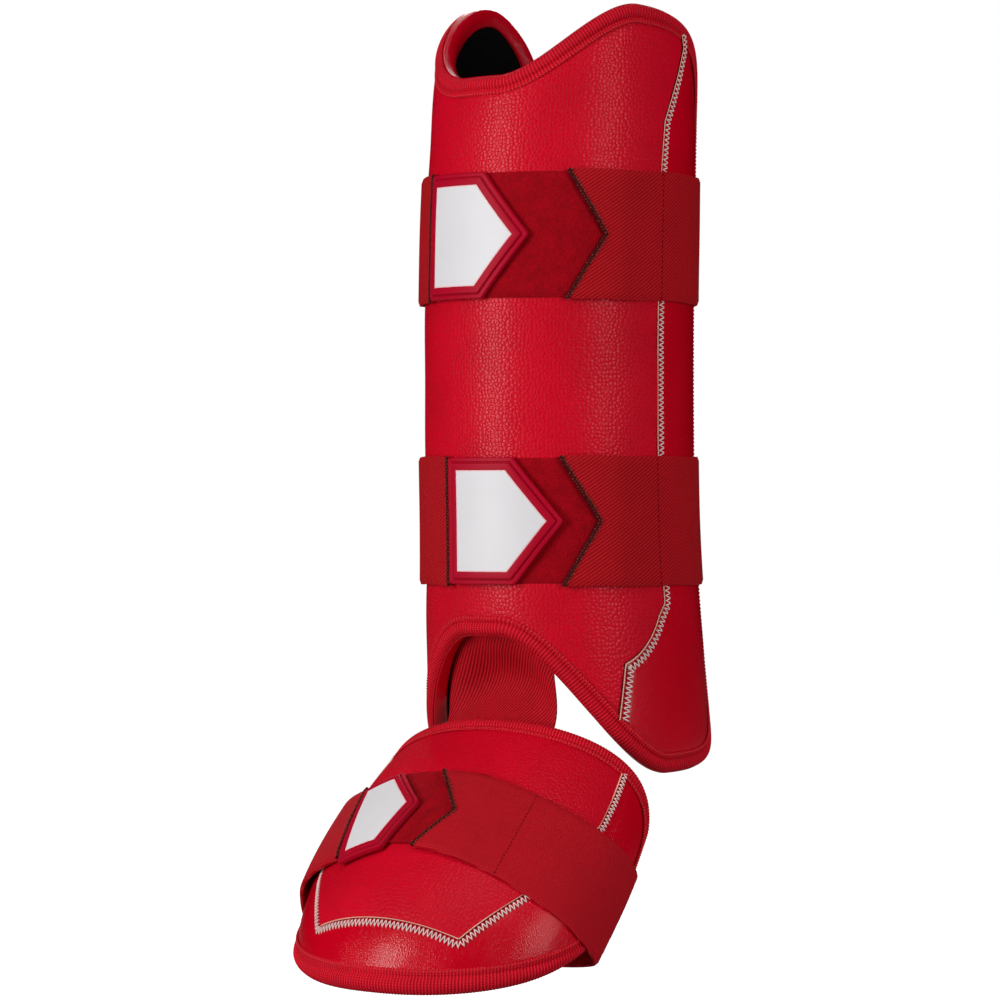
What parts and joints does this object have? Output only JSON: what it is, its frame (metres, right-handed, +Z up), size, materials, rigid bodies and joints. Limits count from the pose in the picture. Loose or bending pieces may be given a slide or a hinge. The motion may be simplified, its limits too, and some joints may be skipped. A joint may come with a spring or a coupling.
{
  "type": "leg guard",
  "caption": "Batter's left leg guard in red: padded shin shell, hinged foot plate on an elastic tongue, and wrap straps with white-faced rubber tabs.",
  "frame": {"origin": "on the leg's axis, at the middle of the shin shell's height", "axes": "+Z up along the leg, -Y forwards in the direction the toes point, +X towards the outer side of the left leg"},
  "size_m": [0.1698, 0.2302, 0.4722],
  "materials": {
    "shin_front_panel": "pebbled",
    "shin_outer_side_panel": "smooth",
    "shin_inner_side_panel": "smooth",
    "shin_inner_rim": "smooth",
    "shin_lining": "knitted",
    "shin_binding": "ribbed elastic",
    "ankle_tongue": "elastic webbing",
    "foot_centre_panel": "pebbled",
    "foot_toe_panel": "smooth",
    "foot_binding": "ribbed elastic",
    "upper_strap": "elastic webbing",
    "upper_loop_patch": "brushed loop",
    "upper_tab_frame": "moulded",
    "upper_tab_plate": "moulded",
    "lower_strap": "elastic webbing",
    "lower_loop_patch": "brushed loop",
    "lower_tab_frame": "moulded",
    "lower_tab_plate": "moulded",
    "foot_strap": "elastic webbing",
    "foot_loop_patch": "brushed loop",
    "foot_tab_frame": "moulded",
    "foot_tab_plate": "moulded"
  },
  "bodies": {
    "root": {"shin_front_panel": "shin_front_panel", "shin_outer_side_panel": "shin_outer_side_panel", "shin_inner_side_panel": "shin_inner_side_panel", "shin_inner_rim": "shin_inner_rim", "shin_lining": "shin_lining", "shin_binding": "shin_binding", "ankle_tongue": "ankle_tongue", "foot_centre_panel": "foot_centre_panel", "foot_toe_panel": "foot_toe_panel", "foot_binding": "foot_binding", "upper_strap": "upper_strap", "upper_loop_patch": "upper_loop_patch", "upper_tab_frame": "upper_tab_frame", "upper_tab_plate": "upper_tab_plate", "lower_strap": "lower_strap", "lower_loop_patch": "lower_loop_patch", "lower_tab_frame": "lower_tab_frame", "lower_tab_plate": "lower_tab_plate", "foot_strap": "foot_strap", "foot_loop_patch": "foot_loop_patch", "foot_tab_frame": "foot_tab_frame", "foot_tab_plate": "foot_tab_plate"}
  },
  "joints": []
}
